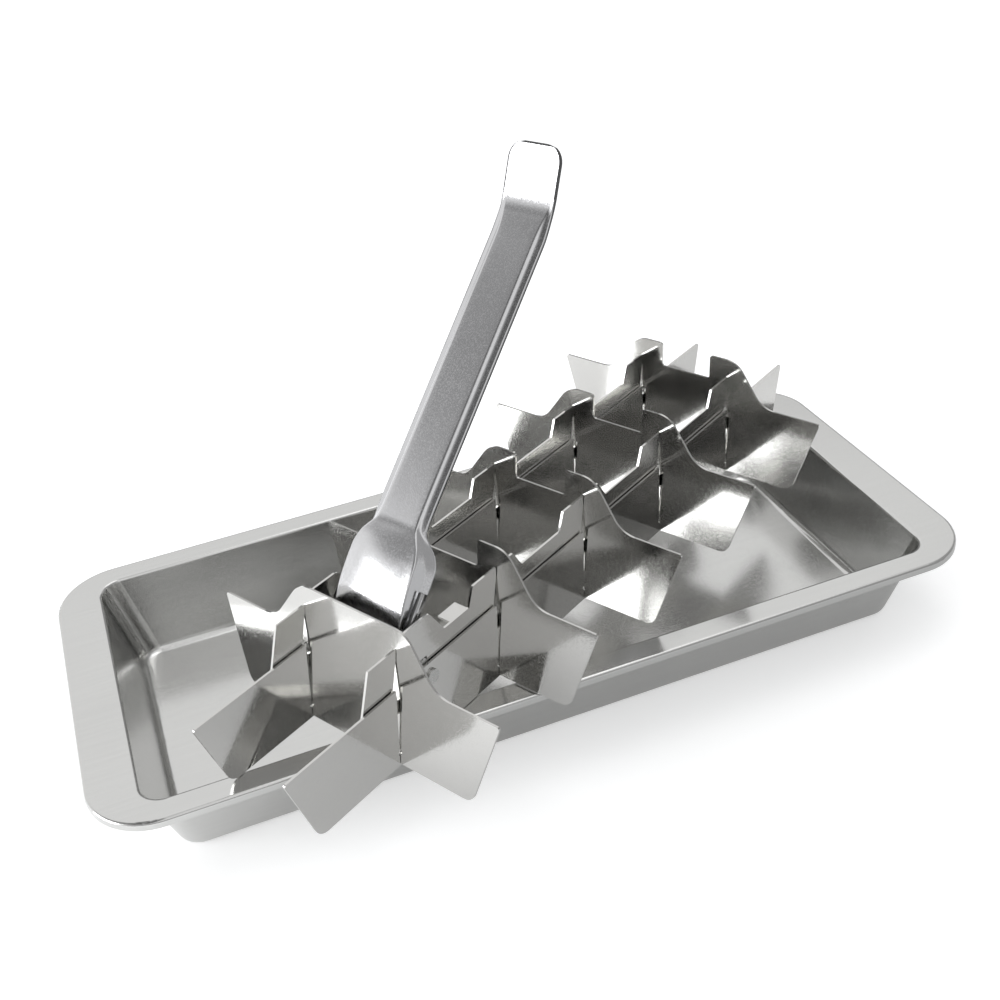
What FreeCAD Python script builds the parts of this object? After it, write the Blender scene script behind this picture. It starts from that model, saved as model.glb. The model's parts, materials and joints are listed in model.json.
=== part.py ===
"""Lever ice cube tray: a pressed sheet pan, and a divider grid with its lever, standing on the pan's rim.

All lengths are in millimetres and all angles in degrees. The origin is the centre of the pan's
underside, +X runs along the pan, +Y across it and +Z up.

The grid has its own frame, turned about Z: x runs from the lever's end to the far end, y to the left,
and z up from the lower edge of the grid. A sheet of the grid is drawn where it stands in that frame.
"""
import FreeCAD, Part
import math
import os
import re
import Sketcher
from FreeCAD import Vector

DRIVING_SIZES = {
    # Pan
    "pan_length": 280.0,
    "pan_width": 125.0,
    "pan_height": 29.0,
    "pan_sheet": 0.7,
    "rim_corner_radius": 20.0,
    "lip_drop": 2.5,
    "lip_round": 1.0,
    "rim_end": 14.5,
    "rim_side": 8.3,
    "wall_run_end": 7.0,
    "wall_run_side": 7.2,
    "wall_corner_radius": 7.0,
    "floor_round": 3.0,
    "opening_round": 1.2,
    # Grid on the rim
    "grid_turn": 30.3,
    "grid_x": 8.7,
    "grid_y": -12.8,
    "seat_gap": 0.2,
    "divider_sheet": 0.7,
    "layer_gap": 0.3,
    "row_spacing": 34.5,
    # Long dividers, lower strips
    "strip_play": 1.5,
    "strip_height": 24.6,
    "strip_corner_radius": 4.0,
    "tip_round": 0.8,
    "slot_play": 0.2,
    "side_play": 0.15,
    "keyhole_radius": 1.0,
    "relief_floor": 23.0,
    # Cross plates
    "end_cell": 34.5,
    "plate_shift": 1.3,
    "pivot_height": 4.0,
    "foot_gap": 0.4,
    "plate_play": 2.5,
    "plate_foot_play": 4.0,
    "plate_corner_radius": 4.0,
    "wing_height": 28.1,
    "shoulder_half": 30.4,
    "shoulder_round": 9.0,
    "hump_half": 19.9,
    "hump_height": 42.7,
    "hump_round": 8.0,
    "notch_half": 9.6,
    "notch_floor": 34.2,
    "notch_round": 1.0,
    "plate_slot_top": 22.0,
    "lean_rest": 10.0,
    "lean_raised": 7.2,
    "lean_folded": 17.4,
    "lean_fade": 1.5,
    # Slide bars
    "bite_height": 33.0,
    "bar_foot": 16.0,
    "bar_edge": 30.4,
    "bar_slot_floor": 20.5,
    "tooth_height": 36.2,
    "tooth_near_top": 10.3,
    "tooth_near_base": 12.8,
    "tooth_far_top": 7.5,
    "tooth_far_base": 11.0,
    "bar_near_end": 18.0,
    "bar_far_end": 12.0,
    "bar_travel_folded": 4.0,
    "bar_travel_raised": 1.45,
    "bracket_height": 39.0,
    "bracket_near": 6.3,
    "bracket_far": 3.2,
    "bracket_base": 8.2,
    "bracket_round": 2.0,
    "tab_near": 11.2,
    "tab_far": 18.4,
    "tab_inner_half": 11.5,
    # Lever and its pins
    "lever_step": 15.6,
    "lever_height": 20.0,
    "lever_angle": 45.0,
    "lever_fold": 45.0,
    "lever_lift": 17.0,
    "lever_sheet": 1.0,
    "pivot_radius": 1.5,
    "pivot_head_radius": 2.2,
    "pivot_head": 0.7,
    "drive_radius": 1.2,
    "drive_arm": 5.3,
    "drive_angle": 59.0,
    "running_fit": 0.05,
    "pin_play": 0.2,
    "boss_radius": 4.6,
    "ear_outer_half": 14.0,
    "ear_far_edge": 14.6,
    "ear_under": 10.8,
    "ear_top": 14.5,
    "ear_root": 20.0,
    "finger_lap": 1.0,
    "finger_sink": 0.3,
    "finger_length": 19.5,
    "finger_rise": 21.5,
    "finger_half": 8.9,
    "finger_round": 5.0,
}

# Stations of the lever's channel, counted along the lever from its pivot: half width of the flat top,
# height of the top above the pivot, half width across the flanges' edges, height of those edges.
LEVER_STATIONS = {
    "heel": (8.6, 12.6, 14.6, 13.9, 11.0),
    "sole": (14.0, 12.8, 17.2, 14.0, 10.9),
    "dome": (20.5, 12.8, 18.4, 14.0, 10.9),
    "brow": (27.0, 12.6, 18.6, 14.0, 11.6),
    "throat": (31.6, 9.4, 18.0, 11.7, 13.2),
    "neck": (34.8, 6.8, 17.6, 9.2, 15.3),
    "wrist": (119.0, 6.4, 17.4, 9.2, 15.5),
    "root": (127.0, 7.9, 17.6, 8.9, 16.5),
}
STATION_SIZES = ("at", "top_half", "top", "edge_half", "edge")
for station, values in LEVER_STATIONS.items():
    for size, value in zip(STATION_SIZES, values):
        DRIVING_SIZES[station + "_" + size] = value

PLATE_COUNT = 5
RIGHT, LEFT = -1, 1
NEAR = 0.01

doc = FreeCAD.newDocument("LeverIceCubeTray")
sizes = doc.addObject("Spreadsheet::Sheet", "Sizes")
for row, (alias, value) in enumerate(DRIVING_SIZES.items(), 1):
    sizes.set("A%d" % row, alias)
    sizes.set("B%d" % row, str(value))
    sizes.setAlias("B%d" % row, alias)
doc.recompute()


def bound(text):
    """Turn a sum of size names into an expression that reads the sheet's cells."""
    def cell(match):
        word = match.group()
        return "Sizes." + word if word in DRIVING_SIZES else word
    return re.sub(r"[a-z][a-z0-9_]*", cell, text)


# Half sizes of the pan's opening and floor
OPENING_LENGTH = "(pan_length / 2 - rim_end)"
OPENING_WIDTH = "(pan_width / 2 - rim_side)"
FLOOR_LENGTH = "(pan_length / 2 - rim_end - wall_run_end)"
FLOOR_WIDTH = "(pan_width / 2 - rim_side - wall_run_side)"

# Sums that several pieces share, in the grid's frame
PLATE_PITCH = "(2 * (%s - end_cell) / %d)" % (FLOOR_LENGTH, PLATE_COUNT - 1)
NEAR_PLATE_X = "(end_cell - plate_shift - %s)" % FLOOR_LENGTH
LEVER_X = "(%s + lever_step)" % NEAR_PLATE_X
STRIP_Y = "row_spacing / 2"
BAR_STEP = "(divider_sheet + layer_gap)"
SLOT_HALF = "(divider_sheet / 2 + slot_play)"
BITE_X = "(bite_height - pivot_height) * tan(lean_rest)"
DRIVE_REST_X = "drive_arm * cos(drive_angle + lever_angle)"
DRIVE_TOP = "lever_height + drive_arm"


def lean(plate):
    """Lean at rest of a cross plate, counted from the near one; each leans a little less than the last."""
    return "(lean_rest - %d * lean_fade)" % plate


def slope(plate, limit="lean_rest"):
    """Run over rise of a cross plate at rest, or with the near one at one of its limits."""
    return "(tan(%s) + tan(%s) - tan(lean_rest))" % (lean(plate), limit)


def bite(plate):
    """x where the slide bars hold a cross plate."""
    return "(%s + %d * %s + %s)" % (NEAR_PLATE_X, plate, PLATE_PITCH, BITE_X)


def foot(plate):
    """x of a cross plate's pivot, below its bite along its lean."""
    return "(%s - (bite_height - pivot_height) * %s)" % (bite(plate), slope(plate))


def origin_plane(body, role):
    return [plane for plane in body.Origin.OriginFeatures if plane.Role == role][0]


def new_body(label):
    body = doc.addObject("PartDesign::Body", label)
    body.Label = label
    return body


def new_sketch(body, name, role, offset=None):
    sketch = body.newObject("Sketcher::SketchObject", name)
    sketch.AttachmentSupport = [(origin_plane(body, role), "")]
    sketch.MapMode = "FlatFace"
    if offset:
        sketch.setExpression("AttachmentOffset.Base.z", bound(offset))
    return sketch


def outline(body, name, role, corners, offset=None):
    """Closed straight-sided sketch whose corners are pairs of sums of size names."""
    sketch = new_sketch(body, name, role, offset)
    count = len(corners)
    for i in range(count):
        turn, after = 2 * math.pi * i / count, 2 * math.pi * (i + 1) / count
        start = Vector(math.cos(turn), math.sin(turn), 0)
        end = Vector(math.cos(after), math.sin(after), 0)
        sketch.addGeometry(Part.LineSegment(start, end), False)
    for i in range(count):
        sketch.addConstraint(Sketcher.Constraint("Coincident", i, 2, (i + 1) % count, 1))
    for i, corner in enumerate(corners):
        for kind, axis, value in (("DistanceX", -2, corner[0]), ("DistanceY", -1, corner[1])):
            if value == "0":
                sketch.addConstraint(Sketcher.Constraint("PointOnObject", i, 1, axis))
                continue
            index = sketch.addConstraint(Sketcher.Constraint(kind, -1, 1, i, 1, 1.0 + i))
            sketch.setExpression("Constraints[%d]" % index, bound(value))
    doc.recompute()
    return sketch


def circle(body, name, role, centre, radius):
    """Sketch of one circle about a centre given as a pair of sums of size names."""
    sketch = new_sketch(body, name, role)
    sketch.addGeometry(Part.Circle(Vector(1, 1, 0), Vector(0, 0, 1), 1), False)
    for kind, axis, value in (("DistanceX", -2, centre[0]), ("DistanceY", -1, centre[1])):
        if value == "0":
            sketch.addConstraint(Sketcher.Constraint("PointOnObject", 0, 3, axis))
            continue
        index = sketch.addConstraint(Sketcher.Constraint(kind, -1, 1, 0, 3, 1.0))
        sketch.setExpression("Constraints[%d]" % index, bound(value))
    index = sketch.addConstraint(Sketcher.Constraint("Radius", 0, 1.0))
    sketch.setExpression("Constraints[%d]" % index, bound(radius))
    doc.recompute()
    return sketch


def rounded_rectangle(body, name, half_length, half_width, radius, offset=None):
    """Level sketch of a rectangle about the origin with rounded corners, sized by sums of size names."""
    start_radius, start_half = 1.0, 6.0
    sketch = new_sketch(body, name, "XY_Plane", offset)
    for quarter in range(4):
        turn = math.pi / 2 * quarter
        diagonal = Vector(math.cos(turn) - math.sin(turn), math.sin(turn) + math.cos(turn), 0)
        corner = Part.Circle(diagonal * (start_half - start_radius), Vector(0, 0, 1), start_radius)
        sketch.addGeometry(Part.ArcOfCircle(corner, turn, turn + math.pi / 2), False)
    for quarter in range(4):
        start, end = sketch.getPoint(quarter, 2), sketch.getPoint((quarter + 1) % 4, 1)
        sketch.addGeometry(Part.LineSegment(start, end), False)
    for quarter in range(4):
        side, after = 4 + quarter, (quarter + 1) % 4
        sketch.addConstraint(Sketcher.Constraint("Tangent", quarter, 2, side, 1))
        sketch.addConstraint(Sketcher.Constraint("Tangent", side, 2, after, 1))
        if quarter:
            sketch.addConstraint(Sketcher.Constraint("Equal", 0, quarter))
    reach = (("DistanceY", 4, 1, half_width), ("DistanceX", 5, -1, "-(%s)" % half_length),
             ("DistanceY", 6, -1, "-(%s)" % half_width), ("DistanceX", 7, 1, half_length))
    for kind, side, sign, value in reach:
        sketch.addConstraint(Sketcher.Constraint("Horizontal" if kind == "DistanceY" else "Vertical", side))
        index = sketch.addConstraint(Sketcher.Constraint(kind, -1, 1, side, 1, sign * start_half))
        sketch.setExpression("Constraints[%d]" % index, bound(value))
    index = sketch.addConstraint(Sketcher.Constraint("Radius", 0, start_radius))
    sketch.setExpression("Constraints[%d]" % index, bound(radius))
    doc.recompute()
    return sketch


def finished(feature):
    """Recompute a feature and stop if it fails."""
    doc.recompute()
    if "Invalid" in feature.State or feature.Shape.isNull():
        raise RuntimeError(feature.getParentGeoFeatureGroup().Label + ": " + feature.Name + " fails")
    return feature


def pad(body, name, sketch, length, side="Symmetric", flip=False):
    feature = body.newObject("PartDesign::Pad", name)
    feature.Profile = sketch
    feature.SideType = side
    feature.Reversed = flip
    feature.setExpression("Length", bound(length))
    return finished(feature)


def cut_through(body, name, sketch):
    """Pocket through the whole piece, both ways from its sketch; it has to take material away."""
    before = body.Tip.Shape.Volume
    feature = body.newObject("PartDesign::Pocket", name)
    feature.Profile = sketch
    feature.SideType = "Symmetric"
    feature.Type = "ThroughAll"
    finished(feature)
    if feature.Shape.Volume > before - 1e-6:
        raise RuntimeError(name + " cuts nothing")
    return feature


def loft(body, name, kind, sections):
    feature = body.newObject(kind, name)
    feature.Profile = sections[0]
    feature.Sections = sections[1:]
    feature.Ruled = True
    return finished(feature)


def fillet(body, name, chosen, radius):
    """Round the edges of the body's last feature for which chosen(edge) is true."""
    base = body.Tip
    names = ["Edge%d" % i for i, edge in enumerate(base.Shape.Edges, 1) if chosen(edge)]
    if not names:
        raise RuntimeError(name + " finds no edge")
    feature = body.newObject("PartDesign::Fillet", name)
    feature.Base = (base, names)
    feature.setExpression("Radius", bound(radius))
    return finished(feature)


def through_corners(sketch, picks):
    """Chooser of the edges that run square to a sketch through some of its corners."""
    normal = sketch.Placement.Rotation.multVec(Vector(0, 0, 1))
    points = [sketch.Placement.multVec(sketch.getPoint(i, 1)) for i in picks]

    def chosen(edge):
        if not isinstance(edge.Curve, Part.Line) or abs(edge.Curve.Direction.dot(normal)) < 0.999:
            return False
        middle = edge.CenterOfMass
        return any((middle - point).cross(normal).Length < NEAR for point in points)
    return chosen


def over_outline(sketch, height):
    """Chooser of the level edges at one height that lie straight over a level sketch's outline."""
    level = sketch.Placement.Base.z

    def chosen(edge):
        first, last = edge.ParameterRange
        points = [edge.valueAt(first + share * (last - first)) for share in (0, 0.5, 1)]
        if any(abs(point.z - height) > NEAR for point in points):
            return False
        return all(sketch.Shape.distToShape(Part.Vertex(point.x, point.y, level))[0] < NEAR
                   for point in points)
    return chosen


# ---- Pan ----------------------------------------------------------------------------------------

def leaning_block(label, foot, thickness, round_size):
    """Block with the pan's leaning sides, larger all round than the inside by a thickness, and its head."""
    body = new_body(label)
    corner = "wall_corner_radius + " + thickness
    head, base = [rounded_rectangle(body, name, "%s + %s" % (half_length, thickness),
                                    "%s + %s" % (half_width, thickness), corner, height)
                  for name, half_length, half_width, height in
                  (("head", OPENING_LENGTH, OPENING_WIDTH, "pan_height"),
                   ("base", FLOOR_LENGTH, FLOOR_WIDTH, foot))]
    loft(body, "block", "PartDesign::AdditiveLoft", [head, base])
    fillet(body, "foot_round", over_outline(base, base.Placement.Base.z), round_size)
    return body, head


def combine(body, kind, tool):
    joined = body.newObject("PartDesign::Boolean", kind + "_" + tool.Label)
    joined.Type = kind
    joined.setObjects([tool])
    return finished(joined)


def make_pan():
    """Flat rim with a turned-down lip, leaning walls and a flat floor, all of one sheet."""
    solid, _ = leaning_block("pan_solid", "0", "pan_sheet", "floor_round + pan_sheet")
    hollow, opening = leaning_block("pan_hollow", "pan_sheet", "0", "floor_round")
    body = new_body("tray_pan")
    lip = "pan_height - lip_drop"
    rim = rounded_rectangle(body, "rim_outline", "pan_length / 2", "pan_width / 2", "rim_corner_radius", lip)
    pad(body, "rim", rim, "lip_drop", "One side")
    under = rounded_rectangle(body, "under_outline", "pan_length / 2 - pan_sheet",
                              "pan_width / 2 - pan_sheet", "rim_corner_radius - pan_sheet", lip)
    underside = body.newObject("PartDesign::Pocket", "rim_underside")
    underside.Profile = under
    underside.Reversed = True
    underside.setExpression("Length", bound("lip_drop - pan_sheet"))
    finished(underside)
    combine(body, "Fuse", solid)
    combine(body, "Cut", hollow)
    fillet(body, "opening_edge", over_outline(opening, sizes.pan_height), "opening_round")
    fillet(body, "lip_edge", over_outline(rim, sizes.pan_height), "lip_round")
    return body


# ---- Long dividers ------------------------------------------------------------------------------

def window(left, right, low, high):
    """Corners of an upright rectangle between four sums of size names."""
    return [(left, low), (right, low), (right, high), (left, high)]


def plate_line(plate, height, limit, side):
    """x of one side of a strip's slot at a height, with a plate at one of its limits."""
    return "%s + (%s - pivot_height) * %s %s %s" % (foot(plate), height, slope(plate, limit), side, SLOT_HALF)


def bite_line(plate, height, limit, side):
    """x of one side of a bar's notch at a height, with a plate at one of its limits."""
    return "%s + (%s - bite_height) * %s %s %s" % (bite(plate), height, slope(plate, limit), side, SLOT_HALF)


def make_lower_strip(label, side):
    """Full-length strip, slotted at every cross plate from its top edge down to a keyhole."""
    body = new_body(label)
    foot_half, top_half = FLOOR_LENGTH + " - strip_play", OPENING_LENGTH + " - strip_play"
    shape = outline(body, "strip_outline", "XZ_Plane",
                    [("-(%s)" % foot_half, "0"), (foot_half, "0"),
                     (top_half, "strip_height"), ("-(%s)" % top_half, "strip_height")])
    pad(body, "strip", shape, "divider_sheet")
    fillet(body, "foot_corners", through_corners(shape, (0, 1)), "strip_corner_radius")
    fillet(body, "tips", through_corners(shape, (2, 3)), "tip_round")
    over = "(strip_height + divider_sheet)"
    for plate in range(PLATE_COUNT):
        name = "slot_%d" % (plate + 1)
        slot = outline(body, name + "_outline", "XZ_Plane",
                       [(foot(plate) + " - " + SLOT_HALF, "pivot_height"),
                        (foot(plate) + " + " + SLOT_HALF, "pivot_height"),
                        (plate_line(plate, over, "lean_folded", "+"), over),
                        (plate_line(plate, over, "lean_raised", "-"), over)])
        cut_through(body, name, slot)
        cut_through(body, name + "_keyhole", circle(body, name + "_circle", "XZ_Plane",
                                                    (foot(plate), "pivot_height"), "keyhole_radius"))
    cut_through(body, "pivot_hole", circle(body, "pivot_circle", "XZ_Plane", (LEVER_X, "lever_height"),
                                           "pivot_radius + running_fit"))
    if side == LEFT:
        half = "(drive_arm * sin((lever_fold + lever_lift) / 2) + drive_radius + 2 * pin_play)"
        relief = outline(body, "relief_outline", "XZ_Plane",
                         window(LEVER_X + " - " + half, LEVER_X + " + " + half, "relief_floor", over))
        cut_through(body, "drive_relief", relief)
    return body


# ---- Slide bars ---------------------------------------------------------------------------------

def bar_corners():
    """Corners of a slide bar at rest, from its near foot round by the far end."""
    last = PLATE_COUNT - 1
    corners = [(bite(0) + " - bar_near_end", "bar_foot"), (bite(last) + " + bar_far_end", "bar_foot"),
               (bite(last) + " + tooth_far_top", "tooth_height"),
               (bite(last) + " - tooth_near_top", "tooth_height"),
               (bite(last) + " - tooth_near_base", "bar_edge")]
    for plate in range(last - 1, 0, -1):
        corners += [(bite(plate) + " + tooth_far_base", "bar_edge"),
                    (bite(plate) + " + tooth_far_top", "tooth_height"),
                    (bite(plate) + " - tooth_near_top", "tooth_height"),
                    (bite(plate) + " - tooth_near_base", "bar_edge")]
    corners += [(LEVER_X + " + bracket_base", "bar_edge"), (LEVER_X + " + bracket_far", "bracket_height"),
                (LEVER_X + " - bracket_near", "bracket_height"),
                (bite(0) + " + 2 * " + SLOT_HALF, "tooth_height"),
                (bite(0) + " - tooth_near_top", "tooth_height")]
    return corners


def make_slide_bar(label, side):
    """Toothed strip that bites each cross plate near its top, with the lever's bracket and a tab."""
    body = new_body(label)
    corners = bar_corners()
    shape = outline(body, "bar_outline", "XZ_Plane", corners)
    pad(body, "bar", shape, "divider_sheet")
    bracket = [i for i, corner in enumerate(corners) if corner[1] == "bracket_height"]
    fillet(body, "bracket_corners", through_corners(shape, bracket), "bracket_round")

    floor, over = "bar_slot_floor", "bracket_height"
    for plate in range(PLATE_COUNT):
        name = "notch_%d" % (plate + 1)
        notch = outline(body, name + "_outline", "XZ_Plane",
                        [(bite_line(plate, floor, "lean_folded", "-"), floor),
                         (bite_line(plate, floor, "lean_raised", "+"), floor),
                         (bite(plate) + " + " + SLOT_HALF, "bite_height"),
                         (bite_line(plate, over, "lean_folded", "+"), over),
                         (bite_line(plate, over, "lean_raised", "-"), over),
                         (bite(plate) + " - " + SLOT_HALF, "bite_height")])
        cut_through(body, name, notch)

    bore = "(pivot_radius + pin_play)"
    pivot_slot = outline(body, "pivot_slot_outline", "XZ_Plane",
                         window(LEVER_X + " - bar_travel_folded - " + bore,
                                LEVER_X + " + bar_travel_raised + " + bore,
                                "lever_height - " + bore, "lever_height + " + bore))
    cut_through(body, "pivot_slot", pivot_slot)
    half = "(drive_radius + pin_play)"
    drop = "drive_arm * (1 - cos((lever_fold + lever_lift) / 2))"
    middle = LEVER_X + " + " + DRIVE_REST_X
    drive_slot = outline(body, "drive_slot_outline", "XZ_Plane",
                         window(middle + " - " + half, middle + " + " + half,
                                "%s - %s - %s" % (DRIVE_TOP, drop, half), DRIVE_TOP + " + " + half))
    cut_through(body, "drive_slot", drive_slot)

    tab = outline(body, "tab_outline", "XZ_Plane",
                  window(LEVER_X + " + tab_near", LEVER_X + " + tab_far",
                         "bar_edge - divider_sheet", "bar_edge"))
    reach = STRIP_Y + " - tab_inner_half + %d * " % side + BAR_STEP
    pad(body, "lever_tab", tab, reach, "One side", side == RIGHT)
    return body


# ---- Cross plates -------------------------------------------------------------------------------

def make_cross_plate(label, notched):
    """Plate with wings, a hump over each long divider, and stepped slots for strip and bar."""
    body = new_body(label)
    half = [(FLOOR_WIDTH + " - plate_foot_play", "foot_gap"),
            (OPENING_WIDTH + " - plate_play", "wing_height"),
            ("shoulder_half", "wing_height"), ("hump_half", "hump_height")]
    if notched:
        half += [("notch_half", "hump_height"), ("notch_half", "notch_floor")]
    mirror = [("-(%s)" % y, z) for y, z in reversed(half)]
    shape = outline(body, "plate_outline", "YZ_Plane", half + mirror)
    pad(body, "plate", shape, "divider_sheet")
    last = len(half + mirror) - 1
    for name, corner, radius in (("foot_corners", 0, "plate_corner_radius"), ("wing_tips", 1, "tip_round"),
                                 ("shoulders", 2, "shoulder_round"), ("humps", 3, "hump_round")):
        fillet(body, name, through_corners(shape, (corner, last - corner)), radius)
    if notched:
        fillet(body, "notch_corners", through_corners(shape, (4, 5, 6, 7)), "notch_round")
    for side, name in ((RIGHT, "right"), (LEFT, "left")):
        row = "%d * %s" % (side, STRIP_Y)
        outer = row + " - divider_sheet / 2 - side_play"
        middle = row + " + divider_sheet / 2 + layer_gap / 2"
        inner = row + " + divider_sheet / 2 + divider_sheet + layer_gap + side_play"
        below = "-divider_sheet"
        slot = outline(body, name + "_slot_outline", "YZ_Plane",
                       [(outer, below), (inner, below), (inner, "plate_slot_top"), (middle, "plate_slot_top"),
                        (middle, "pivot_height - keyhole_radius / 2"),
                        (outer, "pivot_height - keyhole_radius / 2")])
        cut_through(body, name + "_slot", slot)
    return body


# ---- Lever and pins -----------------------------------------------------------------------------

def make_lever():
    """Channel with a wide domed foot, two ears round the pins and a flat finger tab."""
    body = new_body("lever_handle")
    sections = []
    for name in LEVER_STATIONS:
        top, top_half = name + "_top", name + "_top_half"
        edge, edge_half = name + "_edge", name + "_edge_half"
        outer = [(edge_half, edge), (top_half, top)]
        inner = [(edge_half + " - lever_sheet", edge),
                 (top_half + " - lever_sheet / 2", top + " - lever_sheet")]
        left_side = outer[::-1] + inner
        right_side = [("-(%s)" % y, z) for y, z in reversed(left_side)]
        sections.append(outline(body, name + "_section", "YZ_Plane", left_side + right_side, name + "_at"))
    loft(body, "channel", "PartDesign::AdditiveLoft", sections)

    start, level = "root_at - finger_lap", "root_top - finger_sink"
    rise = "finger_length * sin(finger_rise)"
    run = "finger_length * cos(finger_rise)"
    under = "lever_sheet * cos(finger_rise)"
    back = "lever_sheet * sin(finger_rise)"
    finger = outline(body, "finger_outline", "XZ_Plane",
                     [(start, level), (start + " + " + back, level + " - " + under),
                      ("%s + %s + %s" % (start, run, back), "%s + %s - %s" % (level, rise, under)),
                      (start + " + " + run, level + " + " + rise)])
    pad(body, "finger_tab", finger, "2 * finger_half")
    tip_x = finger.getPoint(3, 1).x

    def tip_edge(edge):
        middle, run = edge.CenterOfMass, edge.BoundBox
        flat = abs(run.YMax - run.YMin) < NEAR and abs(abs(middle.y) - sizes.finger_half) < NEAR
        return flat and middle.x > tip_x - NEAR

    fillet(body, "finger_corners", tip_edge, "finger_round")

    ear = outline(body, "ear_outline", "XZ_Plane",
                  [("heel_at", "ear_top"), ("-boss_radius", "boss_radius / 4"),
                   ("-boss_radius", "-boss_radius"), ("boss_radius", "-boss_radius"),
                   ("ear_far_edge", "ear_under"), ("ear_root", "ear_under"), ("ear_root", "ear_top")],
                  "ear_outer_half - lever_sheet")
    right_ear = pad(body, "right_ear", ear, "lever_sheet", "One side")
    both = body.newObject("PartDesign::Mirrored", "both_ears")
    both.Originals = [right_ear]
    both.MirrorPlane = (origin_plane(body, "XZ_Plane"), [""])
    body.Tip = both
    finished(both)
    fillet(body, "boss_round", through_corners(ear, (2, 3)), "boss_radius * 3 / 4")
    cut_through(body, "pivot_hole", circle(body, "pivot_circle", "XZ_Plane", ("0", "0"),
                                           "pivot_radius + running_fit"))
    cut_through(body, "drive_hole", circle(body, "drive_circle", "XZ_Plane",
                                           ("drive_arm * cos(drive_angle)", "drive_arm * sin(drive_angle)"),
                                           "drive_radius + running_fit"))
    return body


def make_pin(label, corners):
    """Pin turned about its own y axis."""
    body = new_body(label)
    profile = outline(body, "half_outline", "XY_Plane", corners)
    turned = body.newObject("PartDesign::Revolution", "turned")
    turned.Profile = profile
    turned.ReferenceAxis = (profile, ["V_Axis"])
    turned.Angle = 360
    finished(turned)
    return body


def make_pivot_pin():
    """Riveted pin through both long dividers, a head outside each."""
    right = "-(%s + divider_sheet / 2 + running_fit)" % STRIP_Y
    left = "(%s + %s + divider_sheet / 2 + running_fit)" % (STRIP_Y, BAR_STEP)
    return make_pin("pivot_pin",
                    [("0", right + " - pivot_head"), ("pivot_head_radius", right + " - pivot_head"),
                     ("pivot_head_radius", right), ("pivot_radius", right), ("pivot_radius", left),
                     ("pivot_head_radius", left), ("pivot_head_radius", left + " + pivot_head"),
                     ("0", left + " + pivot_head")])


def make_drive_pin():
    """Plain pin across the ears that reaches into both slide bars."""
    right = "-(%s - %s + divider_sheet / 2)" % (STRIP_Y, BAR_STEP)
    left = "(%s + %s + divider_sheet / 2)" % (STRIP_Y, BAR_STEP)
    return make_pin("drive_pin", [("0", right), ("drive_radius", right), ("drive_radius", left), ("0", left)])


# ---- Assembly -----------------------------------------------------------------------------------

def step(x, z, y="0", lean="0"):
    """Move by x, y and z, then lean about y."""
    return "placement(vector(%s; %s; %s); rotation(vector(0; 1; 0); %s))" % (x, y, z, lean)


def put(piece, *steps):
    """Stand a piece in the grid's frame after some steps, and the grid on the pan's rim."""
    grid = "placement(vector(grid_x; grid_y; pan_height + seat_gap); rotation(vector(0; 0; 1); grid_turn))"
    piece.setExpression("Placement", bound(" * ".join((grid,) + steps)))
    return piece


pieces = [make_pan()]
for side, name in ((RIGHT, "right"), (LEFT, "left")):
    row = "%d * %s" % (side, STRIP_Y)
    pieces.append(put(make_lower_strip("lower_strip_" + name, side), step("0", "0", row)))
    pieces.append(put(make_slide_bar("slide_bar_" + name, side), step("0", "0", row + " + " + BAR_STEP)))

for number in range(PLATE_COUNT, 0, -1):
    place = PLATE_COUNT - number
    plate = make_cross_plate("cross_plate_%d" % number, number < PLATE_COUNT)
    pieces.append(put(plate, step(foot(place), "pivot_height", lean=lean(place)), step("0", "-pivot_height")))

at_pivot = step(LEVER_X, "lever_height", lean="-lever_angle")
at_drive = step("drive_arm * cos(drive_angle)", "drive_arm * sin(drive_angle)")
pieces.append(put(make_lever(), at_pivot))
pieces.append(put(make_pivot_pin(), at_pivot))
pieces.append(put(make_drive_pin(), at_pivot, at_drive))

doc.recompute()
for item in doc.Objects:
    if "Invalid" in item.State or "Error" in item.State:
        raise RuntimeError("%s is in state %s" % (item.Name, item.State))
for piece in pieces:
    if piece.Shape.isNull() or not piece.Shape.isValid() or len(piece.Shape.Solids) != 1:
        raise RuntimeError(piece.Label + " is not one valid solid")

os.makedirs("parts", exist_ok=True)
for piece in pieces:
    piece.Shape.exportStep("parts/%s.step" % piece.Label)
    print("%-18s %10.1f mm3" % (piece.Label, piece.Shape.Volume))
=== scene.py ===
"""Looks of the lever ice cube tray: steel sheets, the stamped lever, a pale studio and the camera.

Everything is in metres, in the row's frame. Sizes that belong to the lever repeat the part's own.
"""

import json
import math

import bmesh
import bpy
from mathutils import Matrix, Vector


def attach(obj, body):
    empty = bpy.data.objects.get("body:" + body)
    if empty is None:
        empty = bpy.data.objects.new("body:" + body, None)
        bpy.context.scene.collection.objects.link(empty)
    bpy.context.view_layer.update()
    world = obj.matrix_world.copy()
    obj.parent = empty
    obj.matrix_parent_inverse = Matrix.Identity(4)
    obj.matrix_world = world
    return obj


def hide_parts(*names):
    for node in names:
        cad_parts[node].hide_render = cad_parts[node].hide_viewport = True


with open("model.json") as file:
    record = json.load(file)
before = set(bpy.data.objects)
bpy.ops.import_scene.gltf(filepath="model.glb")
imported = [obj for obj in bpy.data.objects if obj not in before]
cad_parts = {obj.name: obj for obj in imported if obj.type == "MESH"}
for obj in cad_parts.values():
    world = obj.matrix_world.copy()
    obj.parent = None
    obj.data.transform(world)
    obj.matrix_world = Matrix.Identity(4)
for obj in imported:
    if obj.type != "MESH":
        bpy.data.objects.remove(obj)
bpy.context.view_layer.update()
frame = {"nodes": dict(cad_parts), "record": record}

MM = 0.001

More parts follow.
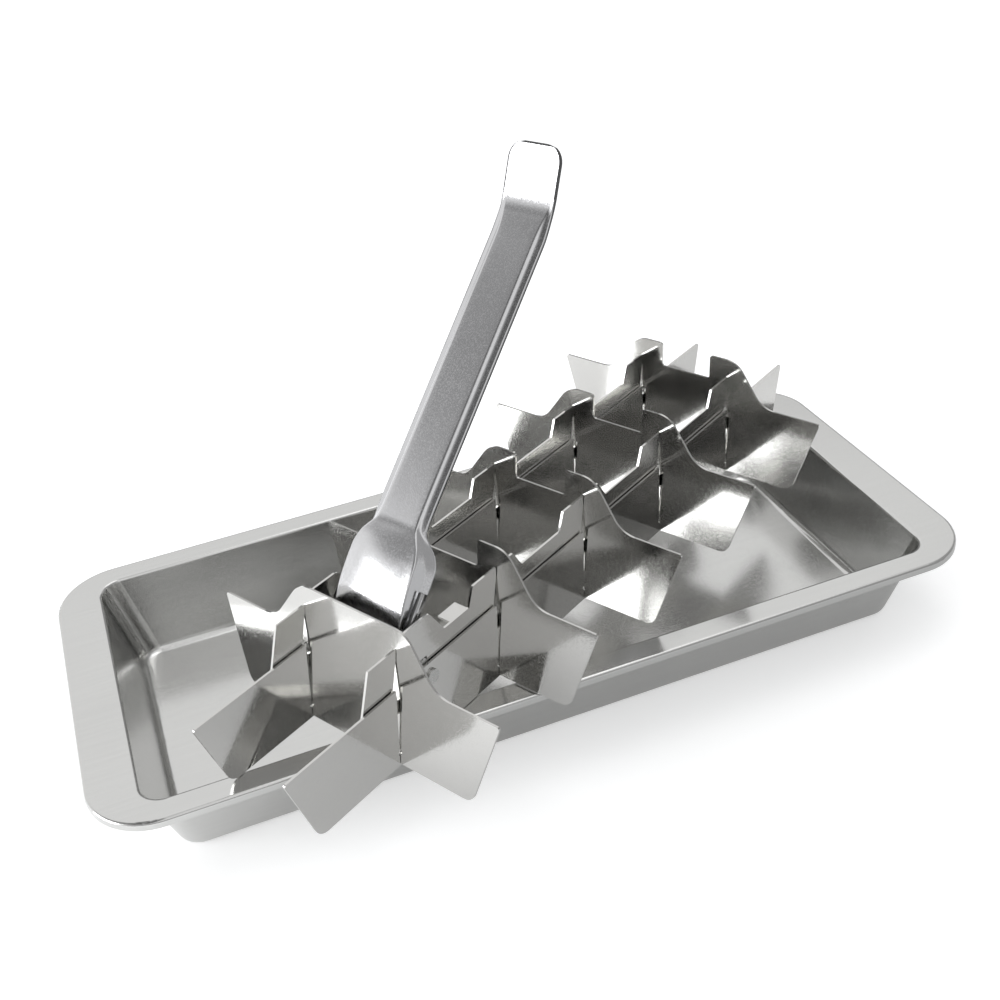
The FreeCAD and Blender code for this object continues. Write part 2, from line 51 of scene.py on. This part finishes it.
# ---- Camera: angles in degrees, lengths in millimetres ---------------------------------------------
CAMERA_AZIMUTH = -17.41
CAMERA_ELEVATION = 33.69
CAMERA_ROLL = -6.28
CAMERA_DISTANCE = 435.31
AIM_RIGHT, AIM_UP = -3.2, 45.76
LENS, SENSOR = 45.99, 36.0

# ---- Grid's place on the pan, as in the part -------------------------------------------------------
GRID_X, GRID_Y, GRID_Z = 8.7, -12.8, 29.2
GRID_TURN = 30.3
LEVER_X, LEVER_Z = -69.7, 20.0
LEVER_ANGLE = 45.0


# ---- Small helpers ---------------------------------------------------------------------------------

def grid_matrix():
    place = Matrix.Translation(Vector((GRID_X, GRID_Y, GRID_Z)) * MM)
    return place @ Matrix.Rotation(math.radians(GRID_TURN), 4, "Z")


def lever_matrix():
    pivot = Matrix.Translation(Vector((LEVER_X, 0, LEVER_Z)) * MM)
    return grid_matrix() @ pivot @ Matrix.Rotation(-math.radians(LEVER_ANGLE), 4, "Y")


def linked(name, data):
    """New object in the scene, made of a mesh, a lamp's or a camera's data."""
    obj = bpy.data.objects.new(name, data)
    bpy.context.scene.collection.objects.link(obj)
    return obj


def mesh_object(name, vertices, faces):
    mesh = bpy.data.meshes.new(name)
    mesh.from_pydata([tuple(v) for v in vertices], [], faces)
    mesh.validate()
    return linked(name, mesh)


def with_sheet(obj):
    """Give a surface the lever's sheet thickness, inwards; its cut edge takes the second material, a
    near-black steel that paints shade there.
    """
    sheet = obj.modifiers.new("sheet", "SOLIDIFY")
    sheet.thickness = LEVER_SHEET * MM
    sheet.offset = -1
    sheet.use_even_offset = True
    sheet.material_offset_rim = 1
    return obj


def smooth(obj, angle=35):
    """Smooth shading with sharp edges kept where faces meet at more than an angle."""
    mesh = obj.data
    mesh.polygons.foreach_set("use_smooth", [True] * len(mesh.polygons))
    mesh.set_sharp_from_angle(angle=math.radians(angle))


# ---- Steel -----------------------------------------------------------------------------------------

def steel(name, colour, gloss, matt, grain_share, brush=0.0, brush_axis=(1, 0, 0), mottle=0.0, wave=0.0,
          grain_size=0.7, grain_height=0.0):
    """Stainless sheet: a mirror gloss broken by matt grains, rolling lines and a slight waviness.

    gloss and matt are the roughness between and in the grains, grain_size is in millimetres.
    """
    material = bpy.data.materials.new(name)
    material.use_nodes = True
    nodes, links = material.node_tree.nodes, material.node_tree.links
    shader = nodes["Principled BSDF"]
    shader.inputs["Metallic"].default_value = 1.0
    place = nodes.new("ShaderNodeTexCoord")

    def noise(size, detail=2.0, stretch=(1, 1, 1)):
        mapping = nodes.new("ShaderNodeMapping")
        mapping.inputs["Scale"].default_value = stretch
        links.new(place.outputs["Object"], mapping.inputs["Vector"])
        texture = nodes.new("ShaderNodeTexNoise")
        texture.inputs["Scale"].default_value = 1 / (size * MM)
        texture.inputs["Detail"].default_value = detail
        links.new(mapping.outputs["Vector"], texture.inputs["Vector"])
        return texture.outputs["Fac"]

    def spread(source, low, high, start=0.3, end=0.7):
        node = nodes.new("ShaderNodeMapRange")
        for socket, value in (("From Min", start), ("From Max", end), ("To Min", low), ("To Max", high)):
            node.inputs[socket].default_value = value
        links.new(source, node.inputs["Value"])
        return node.outputs["Result"]

    def combine(kind, one, other):
        node = nodes.new("ShaderNodeMath")
        node.operation = kind
        for socket, value in zip(node.inputs, (one, other)):
            if isinstance(value, (int, float)):
                socket.default_value = value
            else:
                links.new(value, socket)
        return node.outputs["Value"]

    lines = noise(1.1, 4, tuple(0.04 if axis else 1.0 for axis in brush_axis))
    patches = noise(32, 3)
    grain = noise(grain_size, 2)
    grains = spread(grain, 0.0, 1.0, 0.55 - 0.24 * grain_share, 0.75 - 0.24 * grain_share)

    tone = combine("MULTIPLY", spread(patches, 1 - mottle, 1 + mottle),
                   spread(lines, 1 - 0.5 * brush, 1 + 0.5 * brush))
    tinted = nodes.new("ShaderNodeVectorMath")
    tinted.operation = "SCALE"
    tinted.inputs[0].default_value = colour
    links.new(tone, tinted.inputs["Scale"])
    links.new(tinted.outputs["Vector"], shader.inputs["Base Color"])

    rough = combine("ADD", spread(grains, gloss, matt, 0, 1), spread(lines, -0.2 * brush, 0.4 * brush))
    rough = combine("ADD", rough, spread(patches, -0.15 * gloss, 0.35 * gloss))
    links.new(rough, shader.inputs["Roughness"])

    height = combine("ADD", combine("MULTIPLY", lines, brush * 0.006),
                     combine("MULTIPLY", grain, grain_height))
    height = combine("ADD", height, combine("MULTIPLY", noise(60, 1), wave))
    bump = nodes.new("ShaderNodeBump")
    bump.inputs["Distance"].default_value = MM
    bump.inputs["Strength"].default_value = 1.0
    links.new(height, bump.inputs["Height"])
    links.new(bump.outputs["Normal"], shader.inputs["Normal"])
    return material


PAN_STEEL = steel("pan_steel", (0.62, 0.62, 0.61), 0.15, 0.21, 0.5, brush=0.03, mottle=0.02, wave=0.15,
                  grain_size=0.5)
SHEET_STEEL = steel("divider_steel", (0.62, 0.615, 0.60), 0.08, 0.20, 0.40, brush=0.02, brush_axis=(0, 1, 0),
                    mottle=0.02, wave=0.12, grain_size=0.4, grain_height=0.0028)
LEVER_STEEL = steel("lever_steel", (0.62, 0.62, 0.63), 0.10, 0.22, 0.5, brush=0.02, mottle=0.05, wave=0.25,
                    grain_size=0.45, grain_height=0.006)
PIN_STEEL = steel("pin_steel", (0.55, 0.55, 0.54), 0.2, 0.3, 0.4, mottle=0.05)
# Painted shade: near-black steel that makes the lever's cut edges and the tab's edge band render dark
PAINTED_SHADE_EDGE = steel("lever_edge_painted_shade_steel", (0.12, 0.12, 0.12), 0.40, 0.50, 0.5, brush=0.05, mottle=0.1,
                 grain_size=0.3)
MATERIAL_OF_SLOT = {"pan_steel": PAN_STEEL, "divider_steel": SHEET_STEEL, "lever_steel": LEVER_STEEL,
                    "pin_steel": PIN_STEEL}


def dress(node, edge):
    """Give a CAD node its steel and a fine rounded edge that catches the light."""
    obj = frame["nodes"][node]
    slots = {entry["node"]: entry["material_slot"] for entry in frame["record"]["subparts"]}
    obj.data.materials.clear()
    obj.data.materials.append(MATERIAL_OF_SLOT[slots[node]])
    smooth(obj)
    if edge:
        bevel = obj.modifiers.new("edge", "BEVEL")
        bevel.width = edge * MM
        bevel.segments = 2
        bevel.limit_method = "ANGLE"
        bevel.angle_limit = math.radians(50)
        bevel.harden_normals = True
    return obj


PLATE_EDGE, STRIP_EDGE = 0.14, 0.07
for node in frame["nodes"]:
    dress(node, 0.0 if node == "tray_pan" else PLATE_EDGE if node.startswith("cross_plate") else STRIP_EDGE)


# ---- Lever: a smooth channel in place of the faceted one --------------------------------------------

# Along the lever from its pivot: half width of the flat top, height of the top, half width across the
# flanges' edges, height of those edges, bulge of the top between its folds
STATIONS = [
    (8.6, 12.2, 14.6, 13.9, 11.0, 0.0),
    (9.2, 12.3, 14.9, 13.9, 10.9, 0.3),
    (12.0, 12.2, 15.7, 14.0, 10.9, 1.0),
    (16.0, 12.0, 16.7, 14.0, 10.9, 1.3),
    (20.5, 11.8, 17.4, 14.0, 10.9, 1.3),
    (26.0, 11.4, 18.0, 14.0, 11.4, 0.9),
    (29.5, 10.4, 18.1, 13.1, 12.4, 0.5),
    (32.5, 8.6, 17.9, 11.0, 14.0, 0.2),
    (35.0, 7.0, 17.6, 9.4, 15.8, 0.0),
    (40.0, 6.5, 17.6, 9.3, 16.25, 0.0),
    (119.0, 6.4, 17.4, 9.25, 16.1, 0.0),
    (123.0, 6.6, 17.5, 9.1, 16.5, 0.0),
    (127.0, 7.2, 17.6, 8.9, 17.2, 0.0),
    (130.0, 7.5, 17.6, 8.85, 17.58, 0.0),
    (150.0, 7.5, 17.6, 8.85, 17.58, 0.0),
]
# Places of the channel's cross sections along the lever, closest where its shape turns
SECTIONS = [8.6, 8.8, 9.0, 9.3, 9.8, 10.5, 11.5, 13.0, 14.5, 16.5, 18.5, 20.5, 22.5, 24.5, 26.0, 27.0, 28.0,
            29.0, 30.0, 31.0, 32.0, 33.0, 34.0, 35.0, 36.0, 38.0, 42.0, 52.0, 65.0, 80.0, 95.0, 108.0, 116.0,
            119.0, 120.5, 122.0, 123.5, 124.5]
LEVER_SHEET = 1.0
# Rounding of a fold, and the share of the shoulder that it may take
FOLD_ROUND, FOLD_SHARE = 0.8, 0.45
FOLD_STEPS, KNEE_STEPS = 5, 3
# Shoulder between the flat top and the flange, as shares of the flange's run and drop
SHOULDER_RUN, SHOULDER_DROP = 0.33, 0.56
BULGE_SHARES = (0.25, 0.5, 0.75, 1.0)
# Finger tab: where its bend starts along the lever, the bend's length and angle, and the flat tab after it
BEND_START = 125.0
BEND_LENGTH = 6.0
BEND_STEPS = 10
FINGER_RISE = 23.2
FINGER_LENGTH = 13.9
FINGER_STEPS = 14
FINGER_ROUND = 5.0
# Width of the tab's edge band of painted shade (it takes the near-black steel), and the share of the flange
# that it may take
TAB_SHADE_BAND, SHADE_BAND_SHARE = 0.6, 0.5
# Ears: distance of their inner face from the middle, and their outline and bores seen from the side,
# measured from the pivot
EAR_INNER = 13.0
EAR_OUTLINE = [(9.5, 13.3), (5.5, 10.6), (1.5, 3.4), (-1.6, 2.9), (-3.0, 1.4), (-3.4, -0.6), (-2.6, -2.5),
               (-0.8, -3.4), (1.2, -3.3), (3.0, -2.0), (6.5, 3.0), (10.5, 8.0), (14.6, 10.8), (20.0, 10.9),
               (20.0, 14.0)]
PIVOT_BORE, DRIVE_BORE = 1.55, 1.25
DRIVE_ARM, DRIVE_ANGLE = 5.3, 59.0
BORE_CORNERS = 24
LEVER_CREASE = 50


def along(stations, s):
    """Values of a list of stations at s, through every station and level where they turn back."""
    places = [row[0] for row in stations]
    k = max(0, min(len(places) - 2, sum(1 for place in places if place <= s) - 1))
    width = places[k + 1] - places[k]
    t = (s - places[k]) / width
    values = []
    for column in range(1, len(stations[0])):
        track = [row[column] for row in stations]
        slopes = [(b - a) / (q - p) for a, b, p, q in zip(track, track[1:], places, places[1:])]

        def tangent(i):
            if i == 0 or i == len(slopes):
                return slopes[min(i, len(slopes) - 1)]
            before, after = slopes[i - 1], slopes[i]
            return 2 * before * after / (before + after) if before * after > 0 else 0.0

        a, b, m, n = track[k], track[k + 1], tangent(k) * width, tangent(k + 1) * width
        values.append((2 * t ** 3 - 3 * t ** 2 + 1) * a + (t ** 3 - 2 * t ** 2 + t) * m
                      + (3 * t ** 2 - 2 * t ** 3) * b + (t ** 3 - t ** 2) * n)
    return values


def channel_section(top_half, top, edge_half, edge, bulge):
    """Points of the outer face across the lever, from one flange's edge over both folds to the other's.

    A steep shoulder leads from the flat top to the shallower flange.
    """
    fold, foot = Vector((top_half, top)), Vector((edge_half, edge))
    knee = Vector((top_half + SHOULDER_RUN * (edge_half - top_half), top + SHOULDER_DROP * (edge - top)))
    # Second point at the band's width: on the tab it bounds the edge band of painted shade
    half = [foot, foot.lerp(knee, min(SHADE_BAND_SHARE, TAB_SHADE_BAND / (knee - foot).length))]
    reach = min(FOLD_ROUND, FOLD_SHARE * (knee - fold).length)
    middle = Vector((0, top))
    for before, corner, after, steps in ((foot, knee, fold, KNEE_STEPS), (knee, fold, middle, FOLD_STEPS)):
        enter = corner + (before - corner).normalized() * reach
        leave = corner + (after - corner).normalized() * reach
        for step in range(steps + 1):
            t = step / steps
            half.append(enter * (1 - t) ** 2 + corner * 2 * t * (1 - t) + leave * t * t)
    first = half[-1]
    for share in BULGE_SHARES:
        half.append(Vector((first.x * (1 - share), top + bulge * share * (2 - share))))
    return half + [Vector((-p.x, p.y)) for p in reversed(half[:-1])]


def finger_rows():
    """Rows of points of the tab: its bend, where the channel flattens out, and the rounded end."""
    rise = math.radians(FINGER_RISE)
    s, t = BEND_START, along(STATIONS, BEND_START)[1]
    path = []
    for i in range(BEND_STEPS):
        angle = rise * i / BEND_STEPS
        path.append((s, t, angle, BEND_LENGTH * i / BEND_STEPS, 0.0))
        s += BEND_LENGTH / BEND_STEPS * math.cos(angle)
        t += BEND_LENGTH / BEND_STEPS * math.sin(angle)
    runs = [(FINGER_LENGTH - TAB_SHADE_BAND) * math.sin(math.pi / 2 * i / FINGER_STEPS)
            for i in range(FINGER_STEPS + 1)]
    for run in runs + [FINGER_LENGTH]:
        lack = max(0.0, FINGER_ROUND - (FINGER_LENGTH - run))
        narrow = FINGER_ROUND - math.sqrt(FINGER_ROUND ** 2 - lack ** 2)
        path.append((s + run * math.cos(rise), t + run * math.sin(rise), rise, BEND_LENGTH + run, narrow))
    rows = []
    for s, t, angle, run, narrow in path:
        top_half, top, edge_half, edge, bulge = along(STATIONS, BEND_START + run)
        share = (edge_half - narrow) / edge_half
        rows.append([Vector((s - math.sin(angle) * p.y, p.x * share, t + math.cos(angle) * p.y)) * MM
                     for p in channel_section(top_half, 0.0, edge_half, edge - top, bulge)])
    return rows


def lever_channel():
    """Stamped channel that widens to a domed foot at one end and flattens to a finger tab at the other."""
    rows = [[Vector((s, p.x, p.y)) * MM for p in channel_section(*along(STATIONS, s))] for s in SECTIONS]
    rows += finger_rows()
    across = len(rows[0])
    places = [(i, j) for i in range(len(rows) - 1) for j in range(across - 1)]
    faces = [(i * across + j, i * across + j + 1, (i + 1) * across + j + 1, (i + 1) * across + j)
             for i, j in places]
    channel = mesh_object("lever_channel", [point for row in rows for point in row], faces)
    tab_start, tip = len(SECTIONS) + BEND_STEPS, len(rows) - 2

    # Faces of the tab's tip and flange edges: the edge band of painted shade, in the near-black steel
    def on_shade_band(i, j):
        return i == tip or (i >= tab_start and j in (0, across - 2))

    channel.data.polygons.foreach_set("material_index", [int(on_shade_band(i, j)) for i, j in places])
    return with_sheet(channel)


def lever_ear(name, side):
    """Flat ear with the two pin bores, inside the foot's flange."""
    shape = bmesh.new()
    outer = side * (EAR_INNER + LEVER_SHEET)

    def ring(points):
        corners = [shape.verts.new((x * MM, outer * MM, z * MM)) for x, z in points]
        for a, b in zip(corners, corners[1:] + corners[:1]):
            shape.edges.new((a, b))

    def bore(x, z, radius):
        turns = [math.tau * i / BORE_CORNERS for i in range(BORE_CORNERS)]
        ring([(x + radius * math.cos(turn), z + radius * math.sin(turn)) for turn in turns])

    drive = math.radians(DRIVE_ANGLE)
    ring(EAR_OUTLINE)
    bore(0, 0, PIVOT_BORE)
    bore(DRIVE_ARM * math.cos(drive), DRIVE_ARM * math.sin(drive), DRIVE_BORE)
    bmesh.ops.triangle_fill(shape, edges=shape.edges, use_beauty=True, normal=(0, side, 0))
    for face in shape.faces:
        if face.normal.y * side < 0:
            face.normal_flip()
    mesh = bpy.data.meshes.new(name)
    shape.to_mesh(mesh)
    shape.free()
    return with_sheet(linked(name, mesh))


# ---- Floor, background and lights -------------------------------------------------------------------

WORLD_LIGHT = 0.75
FLOOR_WHITE = 0.93
FLOOR_LIFT = 0.36
FLOOR_DROP = 0.2
DOME_RADIUS = 1.6
LAMP_DISTANCE = 1.3
# Lamps: azimuth, elevation, width and height in metres, brightness of the face and colour
LAMPS = {
    "window": (-91, 15, (0.76, 0.62), 6.0, (0.97, 0.985, 1.0)),
    "overhead": (60, 75, (0.6, 0.6), 1.2, (1, 1, 1)),
}


def white_to_eye(tree, kind, strength):
    """White shader, and the value that is 1 for camera, glossy and transmission rays."""
    nodes, links = tree.nodes, tree.links
    rays = nodes.new("ShaderNodeLightPath")
    seen = rays.outputs["Is Camera Ray"]
    for ray in ("Is Glossy Ray", "Is Transmission Ray"):
        either = nodes.new("ShaderNodeMath")
        either.operation = "MAXIMUM"
        links.new(seen, either.inputs[0])
        links.new(rays.outputs[ray], either.inputs[1])
        seen = either.outputs[0]
    white = nodes.new(kind)
    white.inputs["Color"].default_value = (1, 1, 1, 1)
    white.inputs["Strength"].default_value = strength
    return seen, white.outputs[0]


def mixed(tree, share, one, other, output):
    mix = tree.nodes.new("ShaderNodeMixShader")
    for socket, source in zip(mix.inputs, (share, one, other)):
        tree.links.new(source, socket)
    tree.links.new(mix.outputs[0], output.inputs["Surface"])


def make_world():
    world = bpy.data.worlds.new("studio")
    bpy.context.scene.world = world
    world.use_nodes = True
    tree = world.node_tree
    light = tree.nodes["Background"]
    light.inputs["Color"].default_value = (0.98, 0.99, 1.0, 1)
    light.inputs["Strength"].default_value = WORLD_LIGHT
    seen, white = white_to_eye(tree, "ShaderNodeBackground", 1.0)
    mixed(tree, seen, light.outputs[0], white, tree.nodes["World Output"])


def make_floor():
    half, level = 3.0, -FLOOR_DROP * MM
    floor = mesh_object("floor", [(-half, -half, level), (half, -half, level), (half, half, level),
                                  (-half, half, level)], [(0, 1, 2, 3)])
    material = bpy.data.materials.new("floor_white")
    material.use_nodes = True
    tree = material.node_tree
    shader = tree.nodes["Principled BSDF"]
    shader.inputs["Base Color"].default_value = (FLOOR_WHITE, FLOOR_WHITE, FLOOR_WHITE, 1)
    shader.inputs["Roughness"].default_value = 0.9
    shader.inputs["Specular IOR Level"].default_value = 0.0
    seen, white = white_to_eye(tree, "ShaderNodeEmission", FLOOR_LIFT)
    lifted = tree.nodes.new("ShaderNodeAddShader")
    tree.links.new(shader.outputs[0], lifted.inputs[0])
    tree.links.new(white, lifted.inputs[1])
    mixed(tree, seen, shader.outputs[0], lifted.outputs[0], tree.nodes["Material Output"])
    floor.data.materials.append(material)


def toward(azimuth, elevation):
    """Unit vector at an azimuth from +Y towards +X and an elevation, both in degrees."""
    a, e = math.radians(azimuth), math.radians(elevation)
    return Vector((math.sin(a) * math.cos(e), math.cos(a) * math.cos(e), math.sin(e)))


def gel(name, place, across, up, dim, soft=0.25, steps=16):
    """Grey studio film that dims what the metal mirrors; place(u, v) gives its points, u and v in 0...1.

    Its edges fade over a share of its width and height. The camera and the lamps' light pass it by.
    """
    points, fades = [], []
    for i in range(steps + 1):
        for j in range(steps + 1):
            u, v = i / steps, j / steps
            points.append(place(across[0] + (across[1] - across[0]) * u, up[0] + (up[1] - up[0]) * v))
            edge = min(u, 1 - u, v, 1 - v) / soft
            fades.append(1.0 if edge >= 1 else edge * edge * (3 - 2 * edge))
    row = steps + 1
    faces = [(i * row + j, (i + 1) * row + j, (i + 1) * row + j + 1, i * row + j + 1)
             for i in range(steps) for j in range(steps)]
    film = mesh_object(name, points, faces)
    film.data.attributes.new("fade", "FLOAT", "POINT").data.foreach_set("value", fades)
    material = bpy.data.materials.new(name)
    material.use_nodes = True
    nodes, links = material.node_tree.nodes, material.node_tree.links
    nodes.remove(nodes["Principled BSDF"])
    clear = nodes.new("ShaderNodeBsdfTransparent")
    fade = nodes.new("ShaderNodeAttribute")
    fade.attribute_name = "fade"
    mix = nodes.new("ShaderNodeMix")
    mix.data_type = "RGBA"
    mix.inputs["A"].default_value = (1, 1, 1, 1)
    mix.inputs["B"].default_value = (dim, dim, dim, 1)
    links.new(fade.outputs["Fac"], mix.inputs["Factor"])
    links.new(mix.outputs["Result"], clear.inputs["Color"])
    links.new(clear.outputs[0], nodes["Material Output"].inputs["Surface"])
    film.data.materials.append(material)
    film.visible_camera = film.visible_diffuse = film.visible_shadow = film.visible_transmission = False


def on_dome(azimuth, elevation):
    return toward(azimuth, elevation) * DOME_RADIUS


def on_floor(x, y):
    return Vector((x, y, -FLOOR_DROP / 2 * MM))


# Grey films on the dome: azimuths, elevations and what they let through
DOME_FILMS = {
    "film_left_high": ((-150, -40), (31, 80), 0.36),
    "film_front_left": ((-165, -95), (28, 75), 0.42),
    "film_back_low": ((-24, 75), (-8, 30), 0.30),
    "film_right": ((45, 190), (-8, 62), 0.42),
    "film_front_low": ((-195, -108), (-8, 32), 0.45),
    "film_top": ((-180, 180), (58, 89), 0.75),
}
# Grey films just over the floor: x and y in metres and what they let through
FLOOR_FILMS = {
    "film_floor_front": ((-0.16, 1.3), (-1.3, 0.05), 0.56),
    "film_floor_right": ((0.12, 1.3), (0.0, 1.3), 0.60),
}


def make_films():
    for name, (across, up, dim) in DOME_FILMS.items():
        gel(name, on_dome, across, up, dim)
    for name, (across, up, dim) in FLOOR_FILMS.items():
        gel(name, on_floor, across, up, dim, soft=0.08, steps=40)


def area_lamp(name, azimuth, elevation, size, glow, colour):
    """Soft flat lamp that faces the object; glow is how bright its face is, 1 being white."""
    data = bpy.data.lights.new(name, "AREA")
    data.shape = "RECTANGLE"
    data.size, data.size_y = size
    data.energy = glow * math.pi * size[0] * size[1]
    data.color = colour
    lamp = linked(name, data)
    lamp.location = toward(azimuth, elevation) * LAMP_DISTANCE
    lamp.rotation_euler = (-lamp.location).to_track_quat("-Z", "Y").to_euler()


def make_camera():
    azimuth, elevation, roll = (math.radians(v) for v in (CAMERA_AZIMUTH, CAMERA_ELEVATION, CAMERA_ROLL))
    back = Vector((math.sin(azimuth) * math.cos(elevation), -math.cos(azimuth) * math.cos(elevation),
                   math.sin(elevation)))
    right = Vector((math.cos(azimuth), math.sin(azimuth), 0))
    up = back.cross(right)
    right, up = (math.cos(roll) * right + math.sin(roll) * up, -math.sin(roll) * right + math.cos(roll) * up)
    place = (right * AIM_RIGHT + up * AIM_UP + back * CAMERA_DISTANCE) * MM
    data = bpy.data.cameras.new("camera")
    data.sensor_fit = "HORIZONTAL"
    data.sensor_width = SENSOR
    data.lens = LENS
    data.clip_start = 0.01
    camera = linked("camera", data)
    camera.matrix_world = Matrix((
        (right.x, up.x, back.x, place.x), (right.y, up.y, back.y, place.y),
        (right.z, up.z, back.z, place.z), (0, 0, 0, 1)))
    bpy.context.scene.camera = camera


# ---- Assembly ---------------------------------------------------------------------------------------

for piece in (lever_channel(), lever_ear("lever_ear_left", 1), lever_ear("lever_ear_right", -1)):
    piece.data.transform(lever_matrix())
    smooth(piece, LEVER_CREASE)
    piece.data.materials.append(LEVER_STEEL)
    # Second material: the near-black steel of painted shade, for the cut edges and the tab's edge band
    piece.data.materials.append(PAINTED_SHADE_EDGE)
    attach(piece, "lever")
    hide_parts("lever_handle")

make_world()
make_floor()
make_films()
for name, settings in LAMPS.items():
    area_lamp(name, *settings)
make_camera()

view = bpy.context.scene.view_settings
view.view_transform = "Standard"
